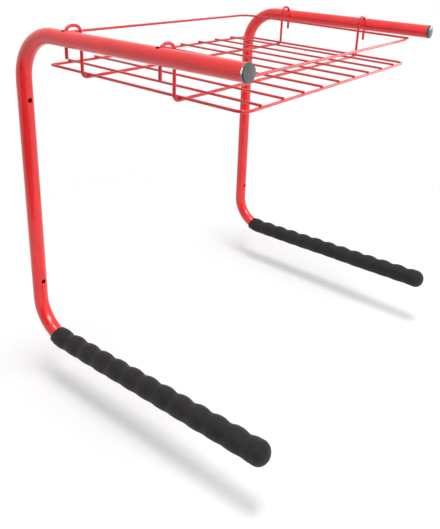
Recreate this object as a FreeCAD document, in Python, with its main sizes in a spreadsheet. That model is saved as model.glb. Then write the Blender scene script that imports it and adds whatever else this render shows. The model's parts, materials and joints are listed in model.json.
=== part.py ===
import FreeCAD, Part
import math
import os
import re
import Sketcher

# A wall rack for two bicycles. Two bent steel tubes are screwed upright to the wall, each with a
# high arm and a low arm that point into the room. A ribbed foam grip covers each low arm. A shelf
# of welded wire hangs between the high arms by four hooks and lifts off them.
# Millimetres and degrees. The origin is the centre of the rectangle of wall screws, on the wall.
# +Z is up, -Y points away from the wall, and "reach" is the distance out from a post's centre line.

Vector = FreeCAD.Vector

DRIVING_SIZES = {
    # The bent tubes
    "stud_spacing": 609.6,
    "tube_diameter": 25.0,
    "tube_wall": 1.5,
    "screw_spread": 338.0,
    "screw_hole": 8.0,
    "upper_arm_above_screw": 111.0,
    "lower_arm_below_screw": 103.0,
    "upper_arm_reach": 442.5,
    "lower_arm_reach": 490.0,
    "upper_rise_angle": 0.9,
    "lower_rise_angle": 1.7,
    "upper_bend_radius": 80.0,
    "lower_bend_radius": 66.0,
    # The plugs in the tube ends
    "cap_lip": 0.4,
    "cap_collar": 4.2,
    "cap_dome": 1.8,
    "cap_edge_rounding": 1.0,
    "plug_shank": 16.0,
    "plug_bore": 16.0,
    "plug_floor": 2.5,
    "plug_rib_depth": 1.0,
    "plug_rib_count": 4,
    # The foam grips
    "grip_start_radius": 17.0,
    "grip_tip_radius": 18.9,
    "grip_rib_pitch": 36.0,
    "grip_bend_cover": 20.0,
    "grip_tip_length": 42.0,
    "grip_tip_cover": 25.0,
    "grip_tip_rounding": 17.5,
    "grip_groove_top": 3.1,
    "grip_groove_bottom": 0.4,
    "grip_bore_gap": 1.0,
    # The hook wires
    "hook_wire": 5.0,
    "rear_hook_reach": 111.0,
    "front_hook_reach": 302.0,
    "hook_leg_offset": 27.2,
    "hook_top_rise": 20.5,
    "hook_end_drop": 28.0,
    "hook_bend_radius": 9.0,
    "hook_arch_radius": 11.2,
    "hook_hole_clearance": 3.5,
    # The rim, the slats and the upper rail
    "rim_wire": 4.5,
    "rim_drop": 55.6,
    "rim_bend_gap": 1.1,
    "rim_rear_reach": 22.0,
    "rim_front_reach": 415.0,
    "rim_rear_corner_radius": 3.0,
    "rim_front_corner_radius": 17.0,
    "slat_wire": 4.0,
    "slat_count": 9,
    "slat_first_inset": 35.0,
    "slat_pitch": 55.2,
    "rail_wire": 4.5,
    "rail_drop": 6.8,
    "rail_rear_reach": 14.0,
    "rail_front_reach": 409.0,
    "rail_stub": 6.0,
    "rail_corner_radius": 25.0,
    "weld_sink": 0.3,
    "wire_end_rounding": 0.6,
}

document = FreeCAD.newDocument("bike_rack")
sheet = document.addObject("Spreadsheet::Sheet", "sizes")
for row, (name, number) in enumerate(DRIVING_SIZES.items(), start=1):
    sheet.set(f"A{row}", name)
    sheet.set(f"B{row}", str(number))
    sheet.setAlias(f"B{row}", name)
document.recompute()


def in_sheet(formula):
    """The formula with each size's name written as a cell of the sheet."""
    return re.sub(r"[a-z_]+", lambda word: f"sizes.{word[0]}" if word[0] in DRIVING_SIZES else word[0], formula)


def value(formula):
    """The number that a formula of the sheet's sizes comes to."""
    return float(sheet.evalExpression(in_sheet(formula)))


def out_from_wall(reach):
    """The Y of a point at this reach, as a formula."""
    return f"-(tube_diameter / 2 + {reach})"


def upper_arm_height(reach):
    """The Z of the upper arm's axis at this reach, as a formula."""
    return f"({UPPER_CORNER_HEIGHT} + ({reach}) * tan(upper_rise_angle))"


def lower_arm_height(reach):
    """The Z of the lower arm's axis at this reach, as a formula."""
    return f"({LOWER_CORNER_HEIGHT} + ({reach}) * tan(lower_rise_angle))"


# Places that several pieces share, as formulas
UPPER_CORNER_HEIGHT = "(screw_spread / 2 + upper_arm_above_screw)"
LOWER_CORNER_HEIGHT = "(-screw_spread / 2 - lower_arm_below_screw)"
TUBE_BORE = "(tube_diameter - 2 * tube_wall)"
HOOK_LEG_X = "(stud_spacing / 2 - hook_leg_offset)"
HOOK_TOP_HEIGHT = f"({UPPER_CORNER_HEIGHT} + hook_top_rise)"
HOOK_END_HEIGHT = f"({UPPER_CORNER_HEIGHT} - hook_end_drop)"
RIM_HEIGHT = f"({UPPER_CORNER_HEIGHT} - rim_drop)"
RIM_SIDE_X = f"({HOOK_LEG_X} - hook_bend_radius - rim_bend_gap)"
CROSS_WIRE_HEIGHT = f"({RIM_HEIGHT} - (rim_wire + hook_wire) / 2 + weld_sink)"
SLAT_HEIGHT = f"({RIM_HEIGHT} + (rim_wire + slat_wire) / 2 - weld_sink)"
RAIL_HEIGHT = f"({UPPER_CORNER_HEIGHT} - rail_drop)"
RAIL_SIDE_X = f"({HOOK_LEG_X} - (hook_wire + rail_wire) / 2 + weld_sink)"
RAIL_FRONT_HEIGHT = f"({RAIL_HEIGHT} - rail_wire + weld_sink)"

pieces = []


def bind(thing, prop, formula):
    """Drive one property of an object from the sheet."""
    thing.setExpression(prop, in_sheet(formula))


def new_body(name, x="0", y="0", z="0"):
    """An empty body for one piece, placed by formulas."""
    body = document.addObject("PartDesign::Body", name)
    body.Label = name
    for axis, formula in zip("xyz", (x, y, z)):
        bind(body, f"Placement.Base.{axis}", formula)
    pieces.append(body)
    return body


def new_sketch(body, name, role):
    """A sketch on one of the body's own origin planes."""
    plane = next(feature for feature in body.Origin.OriginFeatures if feature.Role == role)
    sketch = body.newObject("Sketcher::SketchObject", name)
    sketch.AttachmentSupport = [(plane, "")]
    sketch.MapMode = "FlatFace"
    return sketch


def constrain(sketch, name, formula, kind, *targets):
    """Add one dimension to a sketch and drive it from the sheet."""
    index = sketch.addConstraint(Sketcher.Constraint(kind, *targets, value(formula)))
    sketch.renameConstraint(index, name)
    bind(sketch, f"Constraints.{name}", formula)


def fix_point(sketch, name, geometry, end, corner):
    """Hold one point of a sketch at the formulas of a corner."""
    constrain(sketch, f"{name}_x", corner[0], "DistanceX", -1, 1, geometry, end)
    constrain(sketch, f"{name}_y", corner[1], "DistanceY", -1, 1, geometry, end)


def draw_circle(sketch, name, diameter, x="0", y="0"):
    """A circle whose diameter and centre are formulas."""
    centre = Vector(value(x), value(y), 0)
    circle = sketch.addGeometry(Part.Circle(centre, Vector(0, 0, 1), value(diameter) / 2), False)
    constrain(sketch, f"{name}_diameter", diameter, "Diameter", circle)
    fix_point(sketch, name, circle, 3, (x, y))


def draw_path(sketch, corners, closed=False):
    """Straight runs joined by tangent bends.

    Each corner is a pair of formulas for its place and one for its bend radius, None at an open end.
    """
    count = len(corners)
    points = [Vector(value(x), value(y), 0) for x, y, radius in corners]
    starts, ends, bends = list(points), list(points), {}
    for index, (x, y, radius) in enumerate(corners):
        if radius is None:
            continue
        corner = points[index]
        back = (points[index - 1] - corner).normalize()
        ahead = (points[(index + 1) % count] - corner).normalize()
        half_angle = back.getAngle(ahead) / 2
        tangent_length = value(radius) / math.tan(half_angle)
        ends[index] = corner + back * tangent_length
        starts[index] = corner + ahead * tangent_length
        centre = corner + (back + ahead).normalize() * (value(radius) / math.sin(half_angle))
        turns_left = back.cross(ahead).z < 0
        first, last = (ends, starts) if turns_left else (starts, ends)
        spokes = [side[index] - centre for side in (first, last)]
        angles = [math.atan2(spoke.y, spoke.x) for spoke in spokes]
        arc = Part.ArcOfCircle(Part.Circle(centre, Vector(0, 0, 1), value(radius)), *angles)
        bends[index] = (sketch.addGeometry(arc, False), 1 if turns_left else 2)
    runs = []
    for index in range(count if closed else count - 1):
        run = Part.LineSegment(starts[index], ends[(index + 1) % count])
        runs.append(sketch.addGeometry(run, False))
    for index, (bend, entry) in bends.items():
        run_in, run_out = runs[index - 1], runs[index]
        sketch.addConstraint(Sketcher.Constraint("Tangent", run_in, 2, bend, entry))
        sketch.addConstraint(Sketcher.Constraint("Tangent", run_out, 1, bend, 3 - entry))
        constrain(sketch, f"bend_{index}_radius", corners[index][2], "Radius", bend)
        corner = sketch.addGeometry(Part.Point(points[index]), True)
        sketch.addConstraint(Sketcher.Constraint("PointOnObject", corner, 1, run_in))
        sketch.addConstraint(Sketcher.Constraint("PointOnObject", corner, 1, run_out))
        fix_point(sketch, f"corner_{index}", corner, 1, corners[index])
    if not closed:
        fix_point(sketch, "start", runs[0], 1, corners[0])
        fix_point(sketch, "finish", runs[-1], 2, corners[-1])
    document.recompute()


def sweep_section(body, path, diameter, bore=None):
    """Sweep a round bar, or a tube with a bore, along a path sketch."""
    section = body.newObject("Sketcher::SketchObject", "section")
    section.AttachmentSupport = [(path, "Edge1")]
    section.MapMode = "NormalToEdge"
    draw_circle(section, "outside", diameter)
    if bore:
        draw_circle(section, "inside", bore)
    sweep = body.newObject("PartDesign::AdditivePipe", "sweep")
    sweep.Profile = (section, [""])
    sweep.Spine = (path, [""])
    document.recompute()
    return sweep


def round_borders(body, feature, surface, radius):
    """Round the closed borders of a feature's faces of one kind, such as a cut wire's flat ends."""
    shape = feature.Shape
    faces = [face for face in shape.Faces if isinstance(face.Surface, surface)]
    names = []
    for number, edge in enumerate(shape.Edges, start=1):
        if edge.isClosed() and any(edge.isSame(border) for face in faces for border in face.Edges):
            names.append(f"Edge{number}")
    rounding = body.newObject("PartDesign::Fillet", "edge_rounding")
    rounding.Base = (feature, names)
    bind(rounding, "Radius", radius)


def cut_through(body, sketch, length):
    """Cut a sketch's circles through the body, to both sides of the sketch."""
    volume = body.Shape.Volume
    pocket = body.newObject("PartDesign::Pocket", "holes")
    pocket.Profile = sketch
    pocket.Midplane = True
    bind(pocket, "Length", length)
    document.recompute()
    if pocket.Shape.Volume >= volume:
        raise RuntimeError(f"{body.Label}: the holes cut nothing")


def make_arm_tube(side, x):
    """One bent tube: a post on the wall with an arm at each end."""
    body = new_body(f"{side}_arm_tube", x=x)
    path = new_sketch(body, "bend_line", "YZ_Plane")
    draw_path(path, [
        (out_from_wall("upper_arm_reach"), upper_arm_height("upper_arm_reach"), None),
        (out_from_wall("0"), UPPER_CORNER_HEIGHT, "upper_bend_radius"),
        (out_from_wall("0"), LOWER_CORNER_HEIGHT, "lower_bend_radius"),
        (out_from_wall("lower_arm_reach"), lower_arm_height("lower_arm_reach"), None),
    ])
    sweep_section(body, path, "tube_diameter", TUBE_BORE)

    screw_holes = new_sketch(body, "screw_holes", "XZ_Plane")
    draw_circle(screw_holes, "upper", "screw_hole", y="screw_spread / 2")
    draw_circle(screw_holes, "lower", "screw_hole", y="-screw_spread / 2")
    cut_through(body, screw_holes, "4 * tube_diameter")

    hook_holes = new_sketch(body, "hook_holes", "XY_Plane")
    bind(hook_holes, "AttachmentOffset.Base.z", upper_arm_height("front_hook_reach"))
    for name in ("rear_hook", "front_hook"):
        draw_circle(hook_holes, name, "hook_wire + 2 * hook_hole_clearance", y=out_from_wall(f"{name}_reach"))
    cut_through(body, hook_holes, "2 * tube_diameter")


def make_plug(name, x, reach, height, rise_angle, lip):
    """A plastic plug for a tube end: a domed head outside and a ribbed hollow shank inside."""
    body = new_body(name, x, out_from_wall(reach), height)
    body.Placement.Rotation = FreeCAD.Rotation(Vector(-1, 0, 0), value(rise_angle))
    bind(body, "Placement.Rotation.Angle", rise_angle)
    head_radius = f"(tube_diameter / 2 + {lip})"
    rib_radius = f"({TUBE_BORE} / 2)"
    groove_radius = f"({rib_radius} - plug_rib_depth)"
    outline = [("plug_shank", "plug_bore / 2"), ("plug_shank", groove_radius)]
    for rib in range(round(value("plug_rib_count")), 0, -1):
        crest = f"(plug_shank * ({rib} - 0.5) / plug_rib_count)"
        foot = f"(plug_shank * ({rib} - 0.9) / plug_rib_count)"
        outline += [(crest, groove_radius), (foot, rib_radius), (foot, groove_radius)]
    outline += [("0", groove_radius), ("0", head_radius), ("-cap_collar", head_radius)]
    outline += [("-cap_collar - cap_dome", "0"), ("-cap_collar + plug_floor", "0")]
    outline += [("-cap_collar + plug_floor", "plug_bore / 2")]
    profile = new_sketch(body, "profile", "YZ_Plane")
    points = [Vector(value(x_formula), value(y_formula), 0) for x_formula, y_formula in outline]
    collar = outline.index(("-cap_collar", head_radius))
    for index, point in enumerate(points):
        after = points[(index + 1) % len(points)]
        if index == collar:
            # The dome is an arc that meets the axis square
            rise, half_chord = point.x - after.x, point.y
            dome_radius = (rise ** 2 + half_chord ** 2) / (2 * rise)
            centre = Vector(after.x + dome_radius, 0, 0)
            start = math.atan2(point.y, point.x - centre.x)
            dome = Part.ArcOfCircle(Part.Circle(centre, Vector(0, 0, 1), dome_radius), start, math.pi)
            profile.addGeometry(dome, False)
            continue
        profile.addGeometry(Part.LineSegment(point, after), False)
    for index in range(len(points)):
        after = (index + 1) % len(points)
        profile.addConstraint(Sketcher.Constraint("Coincident", index, 2, after, 1))
        fix_point(profile, f"point_{index}", index, 1, outline[index])
    profile.addConstraint(Sketcher.Constraint("PointOnObject", collar, 3, -1))
    document.recompute()
    turned = body.newObject("PartDesign::Revolution", "turned")
    turned.Profile = profile
    turned.ReferenceAxis = (profile, ["H_Axis"])
    turned.Angle = 360
    document.recompute()
    round_borders(body, turned, Part.Sphere, "cap_edge_rounding")


def make_hook_wire(name):
    """One wire from a hook in the left arm, under the shelf's rim, to a hook in the right arm."""
    right_half = [
        (HOOK_LEG_X, CROSS_WIRE_HEIGHT, "hook_bend_radius"),
        (HOOK_LEG_X, HOOK_TOP_HEIGHT, "hook_arch_radius"),
        ("stud_spacing / 2", HOOK_TOP_HEIGHT, "hook_arch_radius"),
        ("stud_spacing / 2", HOOK_END_HEIGHT, None),
    ]
    left_half = [(f"-{x}", height, radius) for x, height, radius in reversed(right_half)]
    body = new_body(f"{name}_wire", y=out_from_wall(f"{name}_reach"))
    path = new_sketch(body, "bend_line", "XZ_Plane")
    draw_path(path, left_half + right_half)
    round_borders(body, sweep_section(body, path, "hook_wire"), Part.Plane, "wire_end_rounding")


def make_rim():
    """The closed wire loop that frames the shelf's floor."""
    body = new_body("shelf_rim_wire", z=RIM_HEIGHT)
    path = new_sketch(body, "bend_line", "XY_Plane")
    rear, front = out_from_wall("rim_rear_reach"), out_from_wall("rim_front_reach")
    draw_path(path, [
        (f"-{RIM_SIDE_X}", rear, "rim_rear_corner_radius"),
        (f"-{RIM_SIDE_X}", front, "rim_front_corner_radius"),
        (RIM_SIDE_X, front, "rim_front_corner_radius"),
        (RIM_SIDE_X, rear, "rim_rear_corner_radius"),
    ], closed=True)
    sweep_section(body, path, "rim_wire")


def make_upper_rail():
    """The guard rail: a U of wire round the back and sides, open to the front."""
    body = new_body("upper_rail_wire", z=RAIL_HEIGHT)
    path = new_sketch(body, "bend_line", "XY_Plane")
    rear, front = out_from_wall("rail_rear_reach"), out_from_wall("(rail_front_reach + rail_stub)")
    draw_path(path, [
        (f"-{RAIL_SIDE_X}", front, None),
        (f"-{RAIL_SIDE_X}", rear, "rail_corner_radius"),
        (RAIL_SIDE_X, rear, "rail_corner_radius"),
        (RAIL_SIDE_X, front, None),
    ])
    round_borders(body, sweep_section(body, path, "rail_wire"), Part.Plane, "wire_end_rounding")


def make_straight_wire(name, diameter, length, plane, x, y, z):
    """A cut length of wire that starts at the body's place and runs along the plane's normal."""
    body = new_body(name, x, y, z)
    section = new_sketch(body, "section", plane)
    draw_circle(section, "outside", diameter)
    wire = body.newObject("PartDesign::Pad", "wire")
    wire.Profile = section
    bind(wire, "Length", length)
    document.recompute()
    round_borders(body, wire, Part.Plane, "wire_end_rounding")


def make_rail_front():
    """The straight wire that closes the guard rail, welded under its two sides."""
    half_length = f"({RAIL_SIDE_X} + rail_wire / 2)"
    make_straight_wire(
        "upper_rail_front_wire", "rail_wire", f"2 * {half_length}", "YZ_Plane",
        f"-{half_length}", out_from_wall("rail_front_reach"), RAIL_FRONT_HEIGHT)


def make_slats():
    """The straight wires of the shelf's floor, laid on the rim from back to front."""
    length = "rim_front_reach - rim_rear_reach + rim_wire"
    start = out_from_wall("(rim_rear_reach - rim_wire / 2)")
    for index in range(round(value("slat_count"))):
        x = f"-{RIM_SIDE_X} + slat_first_inset + {index} * slat_pitch"
        make_straight_wire(f"slat_wire_{index + 1}", "slat_wire", length, "XZ_Plane", x, start, SLAT_HEIGHT)


class GripLine:
    """The centre line of a foam grip, by distance back from its tip, in the tube's own plane.

    It runs straight along the lower arm and then round the lower bend.
    """

    def __init__(self):
        rise = math.radians(value("lower_rise_angle"))
        self.radius = value("lower_bend_radius")
        self.out = Vector(0, -math.cos(rise), math.sin(rise))
        self.up = Vector(0, math.sin(rise), math.cos(rise))
        corner = Vector(0, value(out_from_wall("0")), value(LOWER_CORNER_HEIGHT))
        corner_to_bend_end = self.radius * math.tan((math.pi / 2 + rise) / 2)
        tip_reach = value("lower_arm_reach + grip_tip_cover")
        self.bend_end = corner + self.out * corner_to_bend_end
        self.straight = tip_reach / math.cos(rise) - corner_to_bend_end

    def at(self, distance):
        """The point, the direction towards the tip and the upward normal at a distance."""
        along = self.straight - distance
        if along >= 0:
            return self.bend_end + self.out * along, self.out, self.up
        angle = -along / self.radius
        ahead = self.out * math.cos(angle) - self.up * math.sin(angle)
        upward = self.up * math.cos(angle) + self.out * math.sin(angle)
        centre = self.bend_end + self.up * self.radius
        return centre - upward * self.radius, ahead, upward

    def circle(self, distance, radius, lowered=0.0):
        """A round section across the line, with its seam always on the same side."""
        point, ahead, upward = self.at(distance)
        ring = Part.makeCircle(radius)
        turn = math.degrees(math.atan2(-ahead.y, ahead.z))
        ring.Placement = FreeCAD.Placement(point - upward * lowered, FreeCAD.Rotation(Vector(1, 0, 0), turn))
        return Part.Wire([ring])


def grip_crest_radius(distance, length):
    """The crest radius, which grows evenly from the start of the grip to its tip."""
    start, tip = value("grip_start_radius"), value("grip_tip_radius")
    return tip + (start - tip) * distance / length


def make_foam_grip(side, x):
    """A ribbed foam sleeve with a closed round tip, pushed over the lower arm."""
    line = GripLine()
    pitch, tip_length = value("grip_rib_pitch"), value("grip_tip_length")
    rounding = value("grip_tip_rounding")
    # Whole ribs, as many as it takes to cover the straight arm and the stated angle of its bend
    on_bend = line.radius * math.radians(value("grip_bend_cover"))
    rib_count = math.ceil((line.straight + on_bend - tip_length) / pitch)
    length = rib_count * pitch + tip_length
    top, bottom = value("grip_groove_top"), value("grip_groove_bottom")
    sections = []
    for step in range(6, 1, -1):
        # The tip closes along a quarter of an ellipse
        angle = math.radians(14 * (step - 1))
        distance = rounding * (1 - math.sin(angle))
        sections.append(line.circle(distance, grip_crest_radius(distance, length) * math.cos(angle)))
    sections.append(line.circle(rounding, grip_crest_radius(rounding, length)))
    for quarter in range(4 * rib_count + 1):
        # Four sections to a rib: groove, shoulder, crest, shoulder
        distance = tip_length + quarter * pitch / 4
        groove = (0.5 + 0.5 * math.cos(math.pi * quarter / 2)) ** 1.5
        crest = grip_crest_radius(distance, length)
        sections.append(line.circle(distance, crest - (top + bottom) / 2 * groove, (top - bottom) / 2 * groove))
    sleeve = Part.makeLoft(sections, True, True)

    bore_radius = value("tube_diameter / 2")
    bore_end = value("grip_tip_cover - cap_collar - cap_dome - grip_bore_gap")
    start_point, middle_point = line.at(length + bore_radius)[0], line.at((length + line.straight) / 2)[0]
    bend = Part.Arc(start_point, middle_point, line.bend_end)
    straight = Part.LineSegment(line.bend_end, line.at(bore_end)[0])
    bore_line = Part.Wire([bend.toShape(), straight.toShape()])
    bore = bore_line.makePipeShell([line.circle(length + bore_radius, bore_radius)], True, False)

    grip = document.addObject("Part::Feature", f"{side}_foam_grip")
    grip.Label = f"{side}_foam_grip"
    grip.Shape = sleeve.cut(bore)
    grip.Placement.Base = Vector(value(x), 0, 0)
    pieces.append(grip)


for side, x in (("left", "-stud_spacing / 2"), ("right", "stud_spacing / 2")):
    make_arm_tube(side, x)
    make_plug(f"{side}_end_cap", x, "upper_arm_reach", upper_arm_height("upper_arm_reach"),
              "upper_rise_angle", "cap_lip")
    make_plug(f"{side}_inner_plug", x, "lower_arm_reach", lower_arm_height("lower_arm_reach"),
              "lower_rise_angle", "0")
    make_foam_grip(side, x)
make_rim()
make_slats()
make_upper_rail()
make_rail_front()
make_hook_wire("rear_hook")
make_hook_wire("front_hook")
document.recompute()

for thing in document.Objects:
    if {"Invalid", "Error"} & set(thing.State):
        raise RuntimeError(f"{thing.Label}: {thing.State}")
for piece in pieces:
    if piece.Shape.isNull() or not piece.Shape.isValid() or len(piece.Shape.Solids) != 1:
        raise RuntimeError(f"{piece.Label}: not one valid solid")

os.makedirs("parts", exist_ok=True)
for piece in pieces:
    piece.Shape.exportStep(f"parts/{piece.Label}.step")
    print(f"{piece.Label}: {piece.Shape.Volume / 1000:.2f} cubic centimetres")
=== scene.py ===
# %% [markdown]
# # A wall rack for two bicycles
#
# Two bent steel tubes are screwed to the wall. Their low arms wear ribbed foam grips, and a shelf of
# welded wire hangs between their high arms. The packed model gives every rigid piece at its real size,
# so this file adds what it leaves out: the foam's uneven ribs, the caps' grooves, the welds and every finish.

import json
import math

import bpy
import numpy as np
from mathutils import Matrix, Vector


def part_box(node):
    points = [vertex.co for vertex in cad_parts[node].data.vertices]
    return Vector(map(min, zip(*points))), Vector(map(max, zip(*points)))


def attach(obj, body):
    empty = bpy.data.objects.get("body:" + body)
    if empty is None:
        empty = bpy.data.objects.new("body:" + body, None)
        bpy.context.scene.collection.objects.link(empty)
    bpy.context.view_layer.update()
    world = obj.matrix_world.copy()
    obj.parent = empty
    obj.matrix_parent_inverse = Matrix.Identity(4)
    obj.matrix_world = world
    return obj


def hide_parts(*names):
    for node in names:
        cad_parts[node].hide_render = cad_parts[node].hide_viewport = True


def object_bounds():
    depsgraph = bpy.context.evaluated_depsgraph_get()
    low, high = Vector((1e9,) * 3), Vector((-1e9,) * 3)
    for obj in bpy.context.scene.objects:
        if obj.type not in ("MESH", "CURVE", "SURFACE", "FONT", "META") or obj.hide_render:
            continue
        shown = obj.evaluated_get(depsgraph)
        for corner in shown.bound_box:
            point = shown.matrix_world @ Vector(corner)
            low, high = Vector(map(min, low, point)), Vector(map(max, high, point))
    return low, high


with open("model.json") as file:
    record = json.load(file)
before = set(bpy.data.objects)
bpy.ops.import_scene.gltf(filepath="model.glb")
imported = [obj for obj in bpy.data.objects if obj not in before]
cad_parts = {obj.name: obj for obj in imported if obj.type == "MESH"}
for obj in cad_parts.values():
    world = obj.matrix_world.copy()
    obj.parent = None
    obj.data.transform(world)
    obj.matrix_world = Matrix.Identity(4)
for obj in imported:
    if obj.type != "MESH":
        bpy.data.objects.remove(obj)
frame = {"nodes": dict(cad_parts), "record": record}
cad_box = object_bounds()
print("The packed model has", len(frame["nodes"]), "nodes")

# %% [markdown]
# ## A small language for materials
#
# A material is a graph of nodes. Written out link by link it is hard to read, so the output of a node is
# wrapped in a small class, and ordinary arithmetic on it adds the Math nodes. The world's light is a graph
# too, so what both need sits in one class, and what only a material needs in a second.

# %% The graph helpers


class Signal:
    """The output of a node. Arithmetic with a number adds a Math node."""

    def __init__(self, graph, socket):
        self.graph = graph
        self.socket = socket

    def __radd__(self, other):
        return self.graph.math("ADD", other, self)

    def __rsub__(self, other):
        return self.graph.math("SUBTRACT", other, self)

    def __rmul__(self, other):
        return self.graph.math("MULTIPLY", other, self)


class Graph:
    """A node tree, with short ways to add nodes and links to it."""

    def __init__(self, tree):
        self.tree = tree

    def put(self, socket, value):
        """Link a signal to a socket, or set the socket to a plain value."""
        if isinstance(value, Signal):
            self.tree.links.new(value.socket, socket)
        else:
            socket.default_value = value

    def node(self, kind, settings, inputs, output=0):
        """Add any node: its settings first, then the values or links of its sockets."""
        node = self.tree.nodes.new(kind)
        for name, value in settings.items():
            setattr(node, name, value)
        for socket, value in inputs.items():
            self.put(node.inputs[socket], value)
        return Signal(self, node.outputs[output])

    def math(self, operation, *values):
        """Work out one sum, product or other operation."""
        return self.node("ShaderNodeMath", {"operation": operation}, dict(enumerate(values)))

    def blend(self, share, first, second):
        """Blend two shaders by a share."""
        return self.node("ShaderNodeMixShader", {}, {0: share, 1: first, 2: second})

    def show(self, shader):
        """Make a shader what the surface or the world shows."""
        output = next(node for node in self.tree.nodes if node.type.startswith("OUTPUT"))
        self.put(output.inputs["Surface"], shader)


print("A signal knows", [name for name in vars(Signal) if name.startswith("__r")])

# %% [markdown]
# A finish is a graph that starts with the Principled shader, which stands for nearly every real surface. Its
# patterns are worked out from the place on the piece, in metres, so that a ripple keeps its real size on
# every piece.

# %% The material helpers


class Finish(Graph):
    """One material: its Principled shader and the nodes that feed it."""

    def __init__(self, name, **constants):
        self.material = bpy.data.materials.new(name)
        self.material.use_nodes = True
        super().__init__(self.material.node_tree)
        self.shader = next(node for node in self.tree.nodes if node.type == "BSDF_PRINCIPLED")
        self.drive(**constants)

    def drive(self, **sockets):
        """Feed the shader's own sockets."""
        for socket, value in sockets.items():
            self.put(self.shader.inputs[socket.replace("_", " ")], value)

    def place(self):
        """The point on the piece, in metres in the rack's own frame."""
        return self.node("ShaderNodeTexCoord", {}, {}, "Object")

    def noise(self, size, detail, roughness=0.5, vector=None):
        """Smooth random patches of about this size in metres, from 0 to 1."""
        inputs = {"Vector": vector or self.place(), "Scale": 1 / size, "Detail": detail, "Roughness": roughness}
        return self.node("ShaderNodeTexNoise", {}, inputs, "Fac")

    def ramp(self, value, low, high):
        """Map a signal smoothly from one range to 0 to 1 and clamp it."""
        inputs = {"Value": value, "From Min": low, "From Max": high}
        return self.node("ShaderNodeMapRange", {"interpolation_type": "SMOOTHSTEP"}, inputs, "Result")

    def mix(self, share, first, second):
        """Blend two colours by a share."""
        return self.node("ShaderNodeMix", {"data_type": "RGBA"}, {0: share, 6: first, 7: second}, 2)

    def bump(self, height, distance, under=None):
        """Turn a height signal, in the given depth, into a surface normal."""
        inputs = {"Height": height, "Distance": distance, "Strength": 1.0}
        if under:
            inputs["Normal"] = under
        return self.node("ShaderNodeBump", {}, inputs, "Normal")


print("A finish knows", [name for name in vars(Finish) if not name.startswith("_")])

# %% [markdown]
# ## The camera
#
# The photo looks down at the rack from its left front. The camera's place, tilt and lens were fitted to the
# tubes and wires in the photo, and the place is in metres of the rack's own frame. The picture's centre of
# perspective isn't its middle, so the lens is shifted by the few pixels that the framing needs.

# %% The camera
PHOTO_WIDTH, PHOTO_HEIGHT = 440, 529
SENSOR_WIDTH = 36.0
CAMERA_PLACE = Vector((-0.8607, -0.8581, 0.4307))
CAMERA_AZIMUTH = math.radians(-56.817)
CAMERA_ELEVATION = math.radians(19.310)
CAMERA_ROLL = math.radians(3.749)
LENS_PIXELS = 589.2
PERSPECTIVE_CENTRE = (269.7, 151.8)


def camera_turn(azimuth, elevation, roll):
    """The rotation whose back axis points at an azimuth and an elevation, rolled about that axis."""
    back = Vector((math.sin(azimuth) * math.cos(elevation), -math.cos(azimuth) * math.cos(elevation),
                   math.sin(elevation)))
    right = Vector((0, 0, 1)).cross(back).normalized()
    up = back.cross(right)
    rolled_right = right * math.cos(roll) + up * math.sin(roll)
    rolled_up = up * math.cos(roll) - right * math.sin(roll)
    return Matrix((rolled_right, rolled_up, back)).transposed()


camera = bpy.data.objects.new("camera", bpy.data.cameras.new("camera"))
bpy.context.scene.collection.objects.link(camera)
camera.location = CAMERA_PLACE
camera.rotation_euler = camera_turn(CAMERA_AZIMUTH, CAMERA_ELEVATION, CAMERA_ROLL).to_euler()
camera.data.sensor_width = SENSOR_WIDTH
camera.data.lens = LENS_PIXELS * SENSOR_WIDTH / PHOTO_HEIGHT
camera.data.shift_x = (PHOTO_WIDTH / 2 - PERSPECTIVE_CENTRE[0]) / PHOTO_HEIGHT
camera.data.shift_y = (PERSPECTIVE_CENTRE[1] - PHOTO_HEIGHT / 2) / PHOTO_HEIGHT
bpy.context.scene.camera = camera
print(f"The lens is {camera.data.lens:.1f} mm")

# %% [markdown]
# ## Red powder coat on the tubes
#
# Powder coat is sprayed on dry and baked, so it is thick and glossy with a faint orange-peel ripple a few
# millimetres wide. A clear coat over the red gives the sharp white streaks, and noise at two sizes gives the
# ripple and the slight change of colour from place to place.

# %% The tube's finish
TUBE_RED = (0.95, 0.018, 0.020, 1)
TUBE_RED_DEEP = (0.85, 0.014, 0.016, 1)
WIRE_RED = (0.76, 0.020, 0.024, 1)
WIRE_RED_DEEP = (0.62, 0.014, 0.018, 1)
TUBE_PEEL = (0.0035, 0.00005)
WIRE_PEEL = (0.0022, 0.00004)
PATCH_SIZE = 0.05
DUST_SIZE = 0.012


def powder_coat(name, colour, deep_colour, peel_size, peel_depth):
    """Gloss red paint with an orange-peel ripple of the given width and depth in metres.

    Here and there dust roughens the paint and weakens its clear coat.
    """
    finish = Finish(name, IOR=1.45, Coat_IOR=1.5, Coat_Roughness=0.06)
    patches = finish.ramp(finish.noise(PATCH_SIZE, detail=2), low=0.3, high=0.7)
    peel = finish.noise(peel_size, detail=1)
    dust = finish.ramp(finish.noise(DUST_SIZE, detail=5, roughness=0.7), low=0.55, high=0.8)
    finish.drive(
        Base_Color=finish.mix(patches, colour, deep_colour),
        Roughness=0.30 + 0.10 * dust,
        Coat_Weight=0.50 - 0.20 * dust,
        Normal=finish.bump(peel, peel_depth),
    )
    return finish.material


tube_paint = powder_coat("tube_powder_coat", TUBE_RED, TUBE_RED_DEEP, *TUBE_PEEL)
wire_paint = powder_coat("wire_powder_coat", WIRE_RED, WIRE_RED_DEEP, *WIRE_PEEL)
print("Made", tube_paint.name, "and", wire_paint.name)

# %% [markdown]
# ## Plugs and caps
#
# The caps are moulded polyethylene: dark grey and shiny, with fine upright flow marks from the mould. Noise
# that is stretched along the height gives the marks, both in the colour and in the surface.

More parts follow.
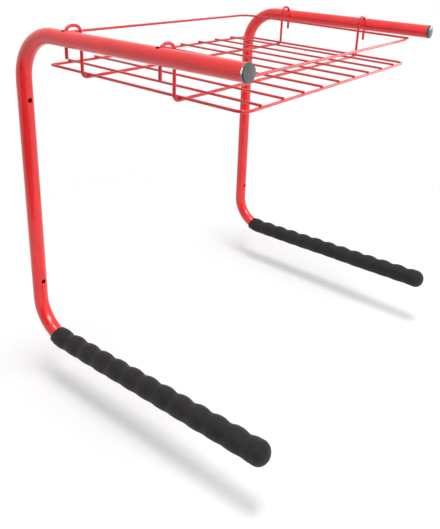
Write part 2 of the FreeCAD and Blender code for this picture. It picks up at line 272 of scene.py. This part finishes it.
# %% The plastic finish
CAP_GREY = (0.070, 0.075, 0.070, 1)
CAP_GREY_LIGHT = (0.120, 0.125, 0.120, 1)
PLUG_GREY = (0.04, 0.04, 0.04, 1)
PLUG_GREY_LIGHT = (0.06, 0.06, 0.06, 1)
UPRIGHT_STRETCH = (1.0, 1.0, 0.12)
MARK_SIZE, MARK_DEPTH = 0.0016, 0.00012
GRAIN_SIZE, GRAIN_DEPTH = 0.0004, 0.00002
CAP_ROUGHNESS, PLUG_ROUGHNESS = 0.10, 0.4


def moulded_plastic(name, colour, light_colour, roughness):
    """Moulded plastic with a fine grain and faint upright flow marks."""
    finish = Finish(name, IOR=1.5)
    stretched = finish.node("ShaderNodeMapping", {}, {"Vector": finish.place(), "Scale": UPRIGHT_STRETCH})
    marks = finish.noise(MARK_SIZE, detail=2, vector=stretched)
    grain = finish.noise(GRAIN_SIZE, detail=2)
    finish.drive(
        Base_Color=finish.mix(finish.ramp(marks, low=0.35, high=0.65), colour, light_colour),
        Roughness=roughness + 0.12 * marks,
        Normal=finish.bump(marks, MARK_DEPTH, under=finish.bump(grain, GRAIN_DEPTH)),
    )
    return finish.material


cap_plastic = moulded_plastic("cap_plastic", CAP_GREY, CAP_GREY_LIGHT, CAP_ROUGHNESS)
plug_plastic = moulded_plastic("plug_plastic", PLUG_GREY, PLUG_GREY_LIGHT, PLUG_ROUGHNESS)
print("Made", cap_plastic.name, "and", plug_plastic.name)

# %% [markdown]
# The tubes, wires and plugs keep their packed meshes, which are never moved or changed, and only get a
# finish. The record says which slot each node has, so one table from slot to finish serves them all. Caps
# and grips are left out of it, because they are replaced further down.

# %% Give the packed nodes their finishes
FINISHES = {
    "tube_paint": tube_paint,
    "wire_paint": wire_paint,
    "plug_plastic": plug_plastic,
}
node_slots = {part["node"]: part["material_slot"] for part in frame["record"]["subparts"]}
for name, node in frame["nodes"].items():
    finish = FINISHES.get(node_slots[name])
    if finish:
        node.data.materials.clear()
        node.data.materials.append(finish)
print("Finished", sum(slot in FINISHES for slot in node_slots.values()), "packed nodes")

# %% [markdown]
# ## Surfaces from grids
#
# Every new piece here is a surface worked out on a grid of two parameters: which ring a point is on, and how
# far round the ring it is. The points come from whole-array formulas, the faces join each point to its
# neighbours, and a fan closes each end, so that the piece is a true solid without holes.

# %% A mesh from a grid


def grid_faces(rings, around):
    """Four-sided faces from each ring of points to the next, and a fan of triangles over each end.

    Point j of ring i has the number i * around + j, and the middle points of the two ends come last.
    """
    ring, step = np.meshgrid(np.arange(rings - 1), np.arange(around), indexing="ij")
    after = (step + 1) % around
    corners = (ring * around + step, ring * around + after, (ring + 1) * around + after, (ring + 1) * around + step)
    here, there = step[0], after[0]
    last = (rings - 1) * around
    centre = np.full(around, rings * around)
    start_fan = np.stack([there, here, centre], axis=-1)
    end_fan = np.stack([last + here, last + there, centre + 1], axis=-1)
    return [*np.stack(corners, axis=-1).reshape(-1, 4).tolist(), *start_fan.tolist(), *end_fan.tolist()]


def grid_mesh(name, points, material):
    """A closed mesh from an array of rings of points."""
    vertices = np.vstack([points.reshape(-1, 3), points[0].mean(axis=0), points[-1].mean(axis=0)])
    mesh = bpy.data.meshes.new(name)
    mesh.from_pydata(vertices.tolist(), [], grid_faces(*points.shape[:2]))
    mesh.shade_smooth()
    mesh.materials.append(material)
    piece = bpy.data.objects.new(name, mesh)
    bpy.context.scene.collection.objects.link(piece)
    return piece


print("Three rings of four points make", len(grid_faces(3, 4)), "faces")

# %% [markdown]
# ## The caps in the high arms
#
# A cap is a plug with a head. The head's collar covers the cut edge of the tube, a narrow groove parts it
# from the face, and the face is a low dome with a rounded edge. The packed cap has the collar and the dome, and
# the groove is too fine for it, so the whole cap is turned here from one profile round the arm's axis.

# %% The cap's profile
CAP_LENGTH = 0.0060
AXIS_GAP = 0.0003
FACE_RADIUS = 0.0116
FACE_RISE = 0.0012
FACE_ROUNDING = 0.0008
FACE_RINGS = 12
COLLAR_RADIUS = 0.0129
COLLAR_ROUNDING = 0.0003
COLLAR_LIP = 0.0006
ROUNDING_RINGS = 6
GROOVE_SIDES = (0.0028, 0.0039)
GROOVE_SLOPE = 0.0001
GROOVE_RADIUS = 0.0113
SHANK = (
    (0.0, 0.0109), (-0.0157, 0.0106), (-0.0160, 0.0103),
    (-0.0160, 0.0080), (0.0017, 0.0080), (0.0017, AXIS_GAP),
)


def cap_profile():
    """Pairs of height out of the tube's end and radius, from the middle of the face to the shank's floor.

    The face falls with the square of its radius, and each rounded edge is a quarter circle.
    """
    radius = np.linspace(AXIS_GAP, FACE_RADIUS, FACE_RINGS)
    face = np.stack([CAP_LENGTH - FACE_RISE * (radius / FACE_RADIUS) ** 2, radius], axis=-1)
    quarter = np.radians(np.linspace(90, 0, ROUNDING_RINGS))
    unit = np.stack([np.sin(quarter), np.cos(quarter)], axis=-1)
    edge = unit[1:] * FACE_ROUNDING + (CAP_LENGTH - FACE_RISE - FACE_ROUNDING, FACE_RADIUS)
    groove = [(GROOVE_SIDES[1], COLLAR_RADIUS - COLLAR_LIP), (GROOVE_SIDES[1] - GROOVE_SLOPE, GROOVE_RADIUS),
              (GROOVE_SIDES[0] + GROOVE_SLOPE, GROOVE_RADIUS)]
    front = unit * COLLAR_ROUNDING + (GROOVE_SIDES[0] - COLLAR_ROUNDING, COLLAR_RADIUS - COLLAR_ROUNDING)
    back = unit[::-1] * (-COLLAR_ROUNDING, COLLAR_ROUNDING) + (COLLAR_ROUNDING, COLLAR_RADIUS - COLLAR_ROUNDING)
    return np.vstack([face, edge, groove, front, back, SHANK])


print("The profile has", len(cap_profile()), "points")

# %% [markdown]
# Both caps are this profile, carried once round the middle line of their own arm. The arm rises slightly, so
# its direction is used, and its place is read from the packed tube and cap.

# %% Turn the caps
UPPER_RISE = math.radians(0.9)
ACROSS = np.array([1.0, 0.0, 0.0])
CAP_POINTS = 72
SHARP_ANGLE = math.radians(50)


def arm_axes(rise):
    """The directions along and square to an arm that rises by an angle."""
    along = np.array([0.0, -math.cos(rise), math.sin(rise)])
    square = np.array([0.0, math.sin(rise), math.cos(rise)])
    return along, square


def make_cap(side, material):
    """Turn the profile round the axis of one high arm."""
    tube_low, tube_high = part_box(f"{side}_arm_tube")
    cap_low, cap_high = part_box(f"{side}_end_cap")
    out, up = arm_axes(UPPER_RISE)
    start = np.array([(tube_low.x + tube_high.x) / 2, cap_low.y + CAP_LENGTH, (cap_low.z + cap_high.z) / 2])
    turn = np.linspace(0, 2 * np.pi, CAP_POINTS, endpoint=False)
    profile = cap_profile()
    outward = np.cos(turn)[:, None] * up + np.sin(turn)[:, None] * ACROSS
    points = start + profile[:, None, :1] * out + profile[:, None, 1:] * outward
    cap = grid_mesh(f"{side}_moulded_cap", points, material)
    cap.data.set_sharp_from_angle(angle=SHARP_ANGLE)
    return cap


caps = {side: make_cap(side, cap_plastic) for side in ("left", "right")}
for side, cap in caps.items():
    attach(cap, "frame")
    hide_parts(f"{side}_end_cap")
    print(cap.name, "has", len(cap.data.polygons), "faces")

# %% [markdown]
# ## The foam grips
#
# A grip is a thick foam sleeve moulded with rounded ribs, pushed over the low arm until its open end sits on
# the tube's bend. A section across it is a circle, and from rib to rib the circle shrinks and sinks a
# little, so the grooves are deep on top and shallow below. Carrying that circle along the arm's centre line
# gives the whole grip.

# %% The arm's centre line under a grip
TUBE_RADIUS = 0.0125
LOWER_BEND_RADIUS = 0.066
LOWER_RISE = math.radians(1.7)
LOWER_CORNER = np.array([0.0, -TUBE_RADIUS, -0.272])
GRIP_TIP_REACH = 0.515

arm_out, arm_up = arm_axes(LOWER_RISE)
corner_to_bend_end = LOWER_BEND_RADIUS * math.tan((math.pi / 2 + LOWER_RISE) / 2)
bend_end = LOWER_CORNER + arm_out * corner_to_bend_end
straight_length = GRIP_TIP_REACH / math.cos(LOWER_RISE) - corner_to_bend_end


def along_grip(distance):
    """Points and upward normals at distances back from the grip's tip.

    The line is straight as far as the tube's bend, and beyond it the angle is the extra distance over the
    bend's radius.
    """
    distance = np.asarray(distance)[:, None]
    angle = np.clip(distance - straight_length, 0, None) / LOWER_BEND_RADIUS
    upward = arm_up * np.cos(angle) + arm_out * np.sin(angle)
    straight = bend_end + arm_out * np.clip(straight_length - distance, 0, None)
    bent = bend_end + (arm_up - upward) * LOWER_BEND_RADIUS
    return np.where(distance < straight_length, straight, bent), upward


print(f"The straight run under the grip is {straight_length:.3f} m long")

# %% [markdown]
# The ribs run into each other without an edge, so they aren't modelled one by one. The grip is one run of
# rings, and each ring has a distance from the tip, a radius and a depth by which it sinks. All of them are
# worked out at once from a few measures of the real grip.

# %% The grip's rings
GRIP_START_RADIUS = 0.0170
GRIP_TIP_RADIUS = 0.0189
RIB_PITCH = 0.036
RIB_COUNT = 12
TIP_LENGTH = 0.042
TIP_ROUNDING = 0.0175
TIP_ANGLES = (89, 3)
TIP_RINGS = 22
GROOVE_TOP = 0.0031
GROOVE_BOTTOM = 0.0004
GROOVE_SHARPNESS = 1.5
START_ROUNDING = 0.0025
START_RINGS = 7
BORE_FLOOR = 0.018
BORE_CLEARANCE = 0.0001
BORE_RADIUS = TUBE_RADIUS + BORE_CLEARANCE
BORE_RINGS = 12
GRIP_LENGTH = RIB_COUNT * RIB_PITCH + TIP_LENGTH
RING_STEP = 0.0012


def grip_rings():
    """The distance, radius and sinking of each ring, and 1 for the outer skin or 0 for the bore.

    The rings run from the tip to the open end and back down the bore to its floor. The radius grows evenly
    towards the tip. A groove is a raised cosine to the power 1.5, which leaves broad ribs and narrow valleys,
    and nothing is cut nearer the tip than half a pitch before the first groove. The tip closes along a quarter
    ellipse, and the open end is rounded into the bore.
    """
    tip_angle = np.radians(np.linspace(*TIP_ANGLES, TIP_RINGS))
    tip = TIP_ROUNDING * (1 - np.sin(tip_angle))
    body = np.arange(TIP_ROUNDING, GRIP_LENGTH - START_ROUNDING, RING_STEP)
    distance = np.concatenate([tip, body])
    crest = GRIP_TIP_RADIUS + (GRIP_START_RADIUS - GRIP_TIP_RADIUS) * distance / GRIP_LENGTH
    rib_phase = (distance - TIP_LENGTH) / RIB_PITCH
    groove = (0.5 + 0.5 * np.cos(2 * np.pi * rib_phase)) ** GROOVE_SHARPNESS * (rib_phase > -0.5)
    radius = crest - (GROOVE_TOP + GROOVE_BOTTOM) / 2 * groove
    sink = (GROOVE_TOP - GROOVE_BOTTOM) / 2 * groove
    closing = np.sqrt(np.clip(1 - ((TIP_ROUNDING - distance) / TIP_ROUNDING).clip(0, 1) ** 2, 0, 1))
    lip_angle = np.radians(np.linspace(0, 90, START_RINGS))
    lip_distance = GRIP_LENGTH - START_ROUNDING * (1 - np.sin(lip_angle))
    lip_radius = radius[-1] - START_ROUNDING * (1 - np.cos(lip_angle))
    bore_distance = np.append(np.linspace(GRIP_LENGTH, straight_length, BORE_RINGS), BORE_FLOOR)
    bore_radius = np.full(len(bore_distance), BORE_RADIUS)
    sinks = np.concatenate([sink, np.full(len(lip_angle), sink[-1]), np.zeros(len(bore_distance))])
    skin = np.concatenate([np.ones(len(distance) + len(lip_angle)), np.zeros(len(bore_distance))])
    return (np.concatenate([distance, lip_distance, bore_distance]),
            np.concatenate([radius * closing, lip_radius, bore_radius]), sinks, skin)


print("A grip has", len(grip_rings()[0]), "rings")

# %% [markdown]
# Moulded foam is never quite even. Four weak waves of random height and phase run along and round the outer
# skin, and fade out towards both ends, where the rounded edges have to stay clean.

# %% The grip's surface
POINTS_AROUND = 96
UNEVENNESS = 0.00010
PHASE_SPREAD = 3
WAVE_TURNS = (1, 2, 3, 1)
WAVE_LENGTHS = (0.11, 0.071, 0.052, 0.19)
TIP_FADE = 0.03
START_FADE = 0.02


def make_grip(name, x, seed, material):
    """One foam grip: rings of the ribbed profile along the arm, with slight unevenness in the ribs."""
    distance, radius, sink, skin = grip_rings()
    random = np.random.default_rng(seed)
    waves = random.normal(0, 1, (3, 4))
    centre, upward = along_grip(distance)
    turn = np.linspace(0, 2 * np.pi, POINTS_AROUND, endpoint=False)
    fade = skin * np.clip(distance / TIP_FADE, 0, 1) * np.clip((GRIP_LENGTH - distance) / START_FADE, 0, 1)
    measures = zip(UNEVENNESS * waves[0], waves[1] * PHASE_SPREAD, WAVE_TURNS, WAVE_LENGTHS)
    uneven = sum(
        height * np.sin(2 * np.pi * distance[:, None] / length + phase + around * turn)
        for height, phase, around, length in measures)
    rings = radius[:, None] + fade[:, None] * uneven
    points = (centre - upward * sink[:, None])[:, None, :] \
        + (rings * np.cos(turn))[..., None] * upward[:, None, :] \
        + (rings * np.sin(turn))[..., None] * ACROSS
    points[..., 0] += x
    return grid_mesh(name, points, material)


print("A ring has", POINTS_AROUND, "points")

# %% [markdown]
# The foam's skin is matte charcoal with a fine closed-cell texture: tiny dimples well under a millimetre, and
# a faint powdery bloom in patches. The dimples are a Voronoi pattern, which is how packed bubbles lie, and
# both they and the skin's waviness are only bumps, as they are too fine to be worth real points.

# %% The foam's finish
FOAM_DARK = (0.012, 0.0105, 0.0100, 1)
FOAM_BLOOM = (0.020, 0.0180, 0.0165, 1)
CELL_SIZE, CELL_DEPTH = 0.0009, 0.00012
SKIN_SIZE, SKIN_DEPTH = 0.0025, 0.0002
BLOOM_SIZE = 0.03


def foam_skin():
    """Closed-cell foam: fine dimples, a slightly warm charcoal and a dusty bloom in patches."""
    finish = Finish("foam_skin", IOR=1.45, Specular_IOR_Level=0.35, Sheen_Weight=0.12, Sheen_Roughness=0.5)
    cells = finish.node("ShaderNodeTexVoronoi", {}, {"Vector": finish.place(), "Scale": 1 / CELL_SIZE}, "Distance")
    skin = finish.noise(SKIN_SIZE, detail=4, roughness=0.6)
    bloom = finish.ramp(finish.noise(BLOOM_SIZE, detail=4, roughness=0.6), low=0.35, high=0.7)
    finish.drive(
        Base_Color=finish.mix(bloom, FOAM_DARK, FOAM_BLOOM),
        Roughness=0.62 + 0.2 * skin,
        Normal=finish.bump(cells, CELL_DEPTH, under=finish.bump(skin, SKIN_DEPTH)),
    )
    return finish.material


foam = foam_skin()
for seed, side in enumerate(("left", "right"), start=1):
    low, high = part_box(f"{side}_arm_tube")
    grip = make_grip(f"{side}_grip_foam", (low.x + high.x) / 2, seed, foam)
    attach(grip, "frame")
    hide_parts(f"{side}_foam_grip")
    print(grip.name, "has", len(grip.data.polygons), "faces")

# %% [markdown]
# ## The welds of the shelf
#
# Where two wires cross, they are pressed together and welded by a jolt of current. The steel flows a little,
# so a small flattened bead shows round each crossing under the paint. One surface of revolution, a squashed
# ball, is repeated at every crossing.

# %% A weld bead
BEAD_RINGS = 12
BEAD_POINTS = 20
POLE_GAP = 0.02


def bead_points(place, across, height):
    """A squashed ball: a circle of radius across times the sine of the latitude, raised by its cosine."""
    latitude = np.linspace(POLE_GAP, np.pi - POLE_GAP, BEAD_RINGS)[:, None]
    longitude = np.linspace(0, 2 * np.pi, BEAD_POINTS, endpoint=False)[None, :]
    return np.stack([
        place[0] + across * np.sin(latitude) * np.cos(longitude),
        place[1] + across * np.sin(latitude) * np.sin(longitude),
        place[2] + height * np.cos(latitude) + 0 * longitude,
    ], axis=-1)[::-1]


print("A bead has", BEAD_RINGS * BEAD_POINTS, "points besides its two ends")

# %% [markdown]
# The crossings are found from the packed wires' boxes, so the beads stay on them when the shelf's sizes
# change. The slats are welded on top of the rim, the hook wires under it and to the sides of the rail, and
# the front rail under the ends of the rail.

# %% The beads at the crossings
SLAT_BEAD = (0.0023, 0.0013)
CROSSING_BEAD = (0.0025, 0.0014)
UPRIGHT_BEAD = (0.0016, 0.0026)


def middle(node):
    """The middle of a packed node's box."""
    low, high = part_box(node)
    return (low + high) / 2


rim_low, rim_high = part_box("shelf_rim_wire")
rim_radius = (rim_high.z - rim_low.z) / 2
rail_low, rail_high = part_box("upper_rail_wire")
rail_radius = (rail_high.z - rail_low.z) / 2
slats = sorted(name for name in frame["nodes"] if name.startswith("slat_wire"))
welds = []
for slat in slats:
    for y in (rim_low.y + rim_radius, rim_high.y - rim_radius):
        welds.append((Vector((middle(slat).x, y, rim_high.z)), *SLAT_BEAD))
for hook in ("rear_hook_wire", "front_hook_wire"):
    for x in (rim_low.x + rim_radius, rim_high.x - rim_radius):
        welds.append((Vector((x, middle(hook).y, rim_low.z)), *CROSSING_BEAD))
    for x in (rail_low.x, rail_high.x):
        welds.append((Vector((x, middle(hook).y, middle("upper_rail_wire").z)), *UPRIGHT_BEAD))
for x in (rail_low.x + rail_radius, rail_high.x - rail_radius):
    welds.append((Vector((x, middle("upper_rail_front_wire").y, rail_low.z)), *CROSSING_BEAD))

for index, weld in enumerate(welds, start=1):
    bead = grid_mesh(f"weld_bead_{index}", bead_points(*weld), wire_paint)
    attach(bead, "shelf")
print("Made", len(welds), "weld beads")

# %% [markdown]
# ## The studio
#
# The photo has a white ground with soft grey shadows under the rack. Near the rack the floor is a pale surface
# that takes those shadows, and farther out it turns into plain white. Only camera, mirror and glass rays see
# that white, so it adds no light to the rack. To all other rays the floor is a middling grey.

# %% The floor's finish
WHITE = (1, 1, 1, 1)
FLOOR_DROP = 0.085
FLOOR_BOUNCE = (0.55, 0.55, 0.55, 1)
FLOOR_LIFT = 0.06
WHITE_STARTS, WHITE_IS_PLAIN = 0.55, 1.25
floor_height = cad_box[0].z - FLOOR_DROP
ground_middle = (0.0, -0.3, floor_height)


def shows_ground(graph):
    """1 for a ray that shows the ground: from the camera, off a gloss surface or through glass."""
    path = graph.tree.nodes.new("ShaderNodeLightPath")
    camera_ray, glossy_ray, glass_ray = (
        Signal(graph, path.outputs[name]) for name in ("Is Camera Ray", "Is Glossy Ray", "Is Transmission Ray"))
    return graph.math("MAXIMUM", graph.math("MAXIMUM", camera_ray, glossy_ray), glass_ray)


floor_finish = Finish("studio_floor_white")
distance = floor_finish.node(
    "ShaderNodeVectorMath", {"operation": "DISTANCE"}, {0: floor_finish.place(), 1: ground_middle}, "Value")
far = floor_finish.ramp(distance, WHITE_STARTS, WHITE_IS_PLAIN)
bounce = floor_finish.node("ShaderNodeBsdfDiffuse", {}, {"Color": FLOOR_BOUNCE})
pale = floor_finish.node("ShaderNodeBsdfDiffuse", {}, {"Color": WHITE})
lift = floor_finish.node("ShaderNodeEmission", {}, {"Color": WHITE, "Strength": FLOOR_LIFT})
near_ground = floor_finish.node("ShaderNodeAddShader", {}, {0: pale, 1: lift})
white = floor_finish.node("ShaderNodeEmission", {}, {"Color": WHITE, "Strength": 1.0})
seen_ground = floor_finish.blend(far, near_ground, white)
floor_finish.show(floor_finish.blend(shows_ground(floor_finish), bounce, seen_ground))
print(f"The floor lies at {floor_height:.3f} m")

# %% [markdown]
# The floor itself is one large square, a little below the rack, because the photographed rack floats above
# its shadows.

# %% The floor
FLOOR_SIZE = 12.0
SQUARE = ((-1, -1), (1, -1), (1, 1), (-1, 1))


def studio_piece(name, points, faces, material):
    """A mesh of flat faces for the studio."""
    mesh = bpy.data.meshes.new(name)
    mesh.from_pydata(points, [], faces)
    mesh.materials.append(material)
    piece = bpy.data.objects.new(name, mesh)
    bpy.context.scene.collection.objects.link(piece)
    return piece


floor_points = [(x * FLOOR_SIZE, y * FLOOR_SIZE, floor_height) for x, y in SQUARE]
floor = studio_piece("studio_floor", floor_points, [(0, 1, 2, 3)], floor_finish.material)
print(floor.name, "is", 2 * FLOOR_SIZE, "m wide")

# %% [markdown]
# The middles of the posts are dark in the photo, as gloss paint is where it mirrors something dark on the
# camera's side. A dark card lies and stands there. Only mirror rays meet it, so it takes no light away.

# %% The dark card
CARD_NEAR = 0.95
CARD_FAR = 1.9
CARD_TOP = 1.3
CARD_WIDTH = 2.6
CARD_CLEARANCE = 0.001
CARD_FOLD = 0.05
CARD_GREY = (0.04, 0.04, 0.04, 1)
toward_camera = Vector((math.sin(CAMERA_AZIMUTH), -math.cos(CAMERA_AZIMUTH), 0))
sideways = Vector((-toward_camera.y, toward_camera.x, 0))
card_profile = (
    (CARD_NEAR, CARD_CLEARANCE), (CARD_FAR, CARD_CLEARANCE),
    (CARD_FAR + CARD_FOLD, CARD_FOLD), (CARD_FAR + CARD_FOLD, CARD_TOP),
)
card_points = [
    toward_camera * reach + sideways * side * CARD_WIDTH / 2 + Vector((0, 0, floor_height + height))
    for side in (-1, 1) for reach, height in card_profile]
corners = len(card_profile)
card_faces = [(i, i + 1, i + 1 + corners, i + corners) for i in range(corners - 1)]
card_finish = Finish("studio_dark_card", Base_Color=CARD_GREY, Roughness=1.0, Specular_IOR_Level=0.0)
card = studio_piece("studio_dark_card", card_points, card_faces, card_finish.material)
card.visible_camera = card.visible_diffuse = card.visible_shadow = card.visible_transmission = False
print(card.name, "has", len(card_faces), "faces")

# %% [markdown]
# The world is white to the rays that show the ground, and an even soft light to all the others. It uses the
# same helpers as a finish, because its light is a graph of nodes as well.

# %% The world
AMBIENT = 0.62
AMBIENT_GREY = (0.8, 0.8, 0.8, 1)
world = bpy.data.worlds.new("studio_world")
world.use_nodes = True
bpy.context.scene.world = world
sky = Graph(world.node_tree)
background = sky.tree.nodes["Background"]
sky.put(background.inputs["Color"], WHITE)
sky.put(background.inputs["Strength"], 1.0)
ambient = sky.node("ShaderNodeBackground", {}, {"Color": AMBIENT_GREY, "Strength": AMBIENT})
sky.show(sky.blend(shows_ground(sky), ambient, Signal(sky, background.outputs[0])))
print(f"The even light is {AMBIENT * AMBIENT_GREY[0]:.2f}")

# %% [markdown]
# A wide lamp high above gives the shadows and the light on the tops of the tubes. A lamp in front fills the
# sides that face the camera and leaves no glint. A third lamp lights the near cap alone, so that its collar
# shows the bright crescent of the photo. The last three add only glints: one along the shelf's front and on
# the far cap's face, and one on the low bend of each tube.

# %% The lamps
TARGET = Vector((0.0, -0.25, 0.0))


def soft_lamp(name, place, width, height, power, fill=True, glints=True, only=()):
    """A rectangular lamp that faces the rack, unseen by the camera.

    It can leave out its even light or its glints, and it can light some pieces only.
    """
    lamp = bpy.data.lights.new(name, "AREA")
    lamp.shape = "RECTANGLE"
    lamp.size = width
    lamp.size_y = height
    lamp.energy = power
    holder = bpy.data.objects.new(name, lamp)
    holder.location = place
    holder.rotation_euler = (Vector(place) - TARGET).to_track_quat("Z", "Y").to_euler()
    holder.visible_camera = False
    holder.visible_diffuse = fill
    holder.visible_glossy = glints
    if only:
        lit = bpy.data.collections.new(f"{name}_pieces")
        for piece in only:
            lit.objects.link(piece)
        holder.light_linking.receiver_collection = lit
    bpy.context.scene.collection.objects.link(holder)


rim_glint_pieces = [frame["nodes"][name] for name in ("shelf_rim_wire", "front_hook_wire", "upper_rail_front_wire")]
left_tube, right_tube = (frame["nodes"][f"{side}_arm_tube"] for side in ("left", "right"))
soft_lamp("key_lamp", (-0.45, -0.8, 4.5), 1.5, 1.3, 105)
soft_lamp("front_lamp", (0.12, -2.4, 0.5), 1.6, 1.6, 28, glints=False)
soft_lamp("collar_lamp", (-1.4, 0.5, 0.7), 0.6, 1.4, 42, only=[caps["left"]])
soft_lamp("rim_lamp", (2.3, -1.5, 0.7), 1.2, 1.0, 16, fill=False, only=[caps["right"], *rim_glint_pieces])
soft_lamp("left_bend_lamp", (-0.25, -1.45, 1.2), 1.5, 0.9, 46, fill=False, only=[left_tube])
soft_lamp("right_bend_lamp", (0.487, -1.810, 1.514), 1.0, 1.0, 55, fill=False, only=[right_tube])
bpy.context.scene.view_settings.view_transform = "Standard"
print("Set up", len(bpy.data.lights), "lamps")

# %% [markdown]
